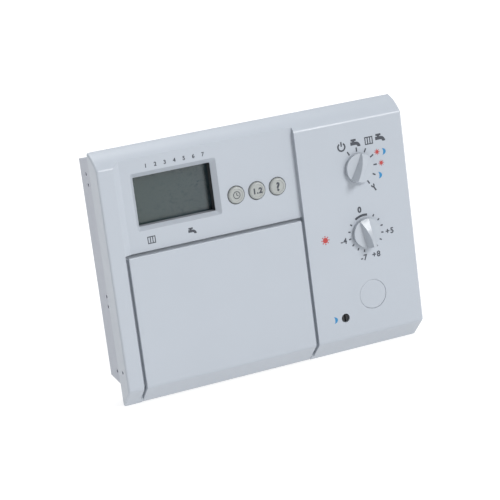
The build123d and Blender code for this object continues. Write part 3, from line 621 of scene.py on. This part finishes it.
def print_offset_scale():
    """Degrees of the day temperature: a numbered round scale with its standard range in bold."""
    centre = middle("offset_shaft")
    x, z = centre.x / MM, centre.z / MM
    marks = Print()
    plain = [k for k in range(-7, 8) if abs(k) > 1]
    draw_ticks(marks, x, z, SCALE_RADIUS, 1.4, 0.75, [OFFSET_ZERO + OFFSET_STEP * k for k in plain])
    marks.arc(x, z, 10.0, 1.25, OFFSET_ZERO - OFFSET_STEP, OFFSET_ZERO + OFFSET_STEP, 16)
    numerals = 3.1
    marks.text("0", x - 2.4, z + 13.4, numerals, 0.22)
    for words, across, up in (("-4", -14.2, -2.2), ("+5", 14.7, -2.0), ("+8", 4.8, -13.4),
                              ("-7", -3.0, -13.8)):
        marks.text(words, x + across, z + up, numerals, 0.13)
    marks.place("offset_scale", "grey")
    sun = Print()
    draw_sun(sun, 34.9, -6.4, radius=2.5)
    sun.place("day_temperature_sign", "red")
    moon = Print()
    draw_moon(moon, 34.2, -52.2, radius=1.9)
    moon.place("night_temperature_sign", "blue")


# ---------------------------------------------------------------- keys

def turned(profile, x, z, steps=72):
    """Solid turned about an axis along Y. The profile runs from the axis back to the axis."""
    bm = bmesh.new()
    rings = []
    for radius, depth in profile:
        if radius == 0:
            rings.append([bm.verts.new((x, depth, z))])
            continue
        ring = []
        for i in range(steps):
            angle = 2 * pi * i / steps
            ring.append(bm.verts.new((x + radius * sin(angle), depth, z + radius * cos(angle))))
        rings.append(ring)
    for first, second in zip(rings, rings[1:]):
        for i in range(steps):
            j = (i + 1) % steps
            corners = [first[i % len(first)], first[j % len(first)],
                       second[j % len(second)], second[i % len(second)]]
            bm.faces.new(list(dict.fromkeys(corners)))
    return bm


def cap_profile(radius, front, back, flange_radius, flange_front, stem_radius, stem_back):
    """Outline of a key cap: flat dish in a raised rim, well rounded edge, flange and stem."""
    steps = 8
    rim = radius - CAP_EDGE
    points = [(0, front + CAP_DISH), (rim * 0.9, front + CAP_DISH)]
    points += [(rim * 0.96, front + 0.08 * MM), (rim, front)]
    for i in range(1, steps + 1):
        angle = pi / 2 * i / steps
        points.append((rim + CAP_EDGE * sin(angle), front + CAP_EDGE - CAP_EDGE * cos(angle)))
    points += [(radius, flange_front), (flange_radius, flange_front), (flange_radius, back)]
    points += [(stem_radius, back), (stem_radius, stem_back), (0, stem_back)]
    return points


def make_key(name, draw):
    """Cap with a dished front in place of the plain one, and the sign printed in its dish."""
    low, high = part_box(name)
    centre = (low + high) / 2
    if name.endswith("_button"):
        radius, wall_back = BUTTON_CAP_RADIUS, PANEL + PANEL_WALL
    else:
        radius, wall_back = KEY_CAP_RADIUS, WELL_FLOOR + WELL_WALL
    flange_front = wall_back + FLANGE_GAP
    flange_radius = (high.x - low.x) / 2
    profile = cap_profile(radius, low.y, flange_front + FLANGE_THICKNESS, flange_radius,
                          flange_front, STEM_RADIUS, high.y)
    cap = add_object(name + "_cap", turned(profile, centre.x, centre.z),
                     MATERIALS["button_plastic"], name, 28)
    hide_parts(name)
    sign = Print()
    draw(sign)
    sign.place(name + "_sign", "grey", name, centre.x, centre.z, low.y + CAP_DISH)


# What is printed on each cap, drawn about the cap's middle
KEY_SIGNS = {
    "clock_button": lambda p: draw_clock(p, 0, 0, 1.9),
    "program_button": lambda p: p.text("1.2", 0, 0, 2.9, 0.2),
    "info_button": lambda p: p.text("?", 0, 0, 4.4, 0.28),
    "day_key": lambda p: draw_sun(p, 0, 0, 1.9),
    "minus_key": lambda p: draw_minus(p, 0, 0, 1.4),
    "plus_key": lambda p: draw_plus(p, 0, 0, 1.4),
    "heating_key": lambda p: draw_radiator(p, 0, 0, 3.6, 2.8, 0.36),
    "hot_water_key": lambda p: draw_tap(p, 0, 0, 3.8),
    "reset_key": lambda p: p.arc(0, 0, 1.4, 0.4, 40, 340, 30),
}


# ---------------------------------------------------------------- display

def add_polarizer():
    """Polarizing film on the front glass, with one corner cut off to mark its way up."""
    low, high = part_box("display_window")
    left, right = low.x / MM + FILM_INSET, high.x / MM - FILM_INSET
    bottom, top = low.z / MM + FILM_INSET, high.z / MM - FILM_INSET
    film = Print(FILM_HALF_THICKNESS, FILM_HALF_THICKNESS)
    film.shape([(left, bottom), (right, bottom), (right, top - FILM_CORNER),
                (right - FILM_CORNER, top), (left, top)])
    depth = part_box("display_cell")[0].y - FILM_STAND_OFF
    film.place("display_polarizer", "display_glass", depth=depth)


# ---------------------------------------------------------------- camera, light and floor

def add_camera():
    """Camera turned by yaw, pitch and roll from looking along +Y."""
    yaw, pitch, roll = (radians(a) for a in (CAMERA_YAW, CAMERA_PITCH, CAMERA_ROLL))
    base = Matrix(((1, 0, 0), (0, 0, -1), (0, 1, 0)))
    about_up = Matrix(((cos(yaw), -sin(yaw), 0), (sin(yaw), cos(yaw), 0), (0, 0, 1)))
    about_right = Matrix(((1, 0, 0), (0, cos(pitch), -sin(pitch)), (0, sin(pitch), cos(pitch))))
    about_view = Matrix(((cos(roll), -sin(roll), 0), (sin(roll), cos(roll), 0), (0, 0, 1)))
    right, down, forward = about_view @ about_right @ base @ about_up
    turn = Matrix((right, -down, -forward)).transposed().to_4x4()
    data = bpy.data.cameras.new("camera")
    data.lens = CAMERA_LENS
    data.sensor_width = CAMERA_SENSOR
    camera = bpy.data.objects.new("camera", data)
    camera.matrix_world = Matrix.Translation(CAMERA_PLACE) @ turn
    bpy.context.scene.collection.objects.link(camera)
    bpy.context.scene.camera = camera


def add_sun(name, direction, strength, softness, colour):
    """Soft light that falls along a direction."""
    data = bpy.data.lights.new(name, "SUN")
    data.energy = strength
    data.angle = radians(softness)
    data.color = colour
    light = bpy.data.objects.new(name, data)
    light.rotation_mode = "QUATERNION"
    light.rotation_quaternion = Vector(direction).to_track_quat("-Z", "Y")
    bpy.context.scene.collection.objects.link(light)


def add_room():
    """Pale surroundings, three soft suns and a pale floor that glows a little."""
    world = bpy.data.worlds.new("room")
    bpy.context.scene.world = world
    world.use_nodes = True
    background = world.node_tree.nodes["Background"]
    background.inputs["Color"].default_value = (*ROOM_COLOUR, 1)
    background.inputs["Strength"].default_value = ROOM_STRENGTH
    for name, sun in SUNS.items():
        add_sun(name, *sun)

    bm = bmesh.new()
    bmesh.ops.create_grid(bm, x_segments=8, y_segments=8, size=FLOOR_REACH)
    mesh = bpy.data.meshes.new("floor")
    bm.to_mesh(mesh)
    bm.free()
    floor = bpy.data.objects.new("floor", mesh)
    floor.location.z = CAD_BOX[0].z - FLOOR_DROP
    bpy.context.scene.collection.objects.link(floor)
    recipe = Recipe("floor_paint", 0.9)
    recipe.paint(recipe.shade(recipe.noise(0.4, 2), FLOOR_COLOUR, 0.004))
    recipe.shader.inputs["Emission Color"].default_value = (1, 1, 1, 1)
    recipe.shader.inputs["Emission Strength"].default_value = FLOOR_GLOW
    mesh.materials.append(recipe.material)
    bpy.context.scene.view_settings.view_transform = "Standard"


paint_nodes()
print_display_panel()
print_mode_scale()
print_offset_scale()
for key, sign in KEY_SIGNS.items():
    make_key(key, sign)
add_polarizer()
add_camera()
add_room()
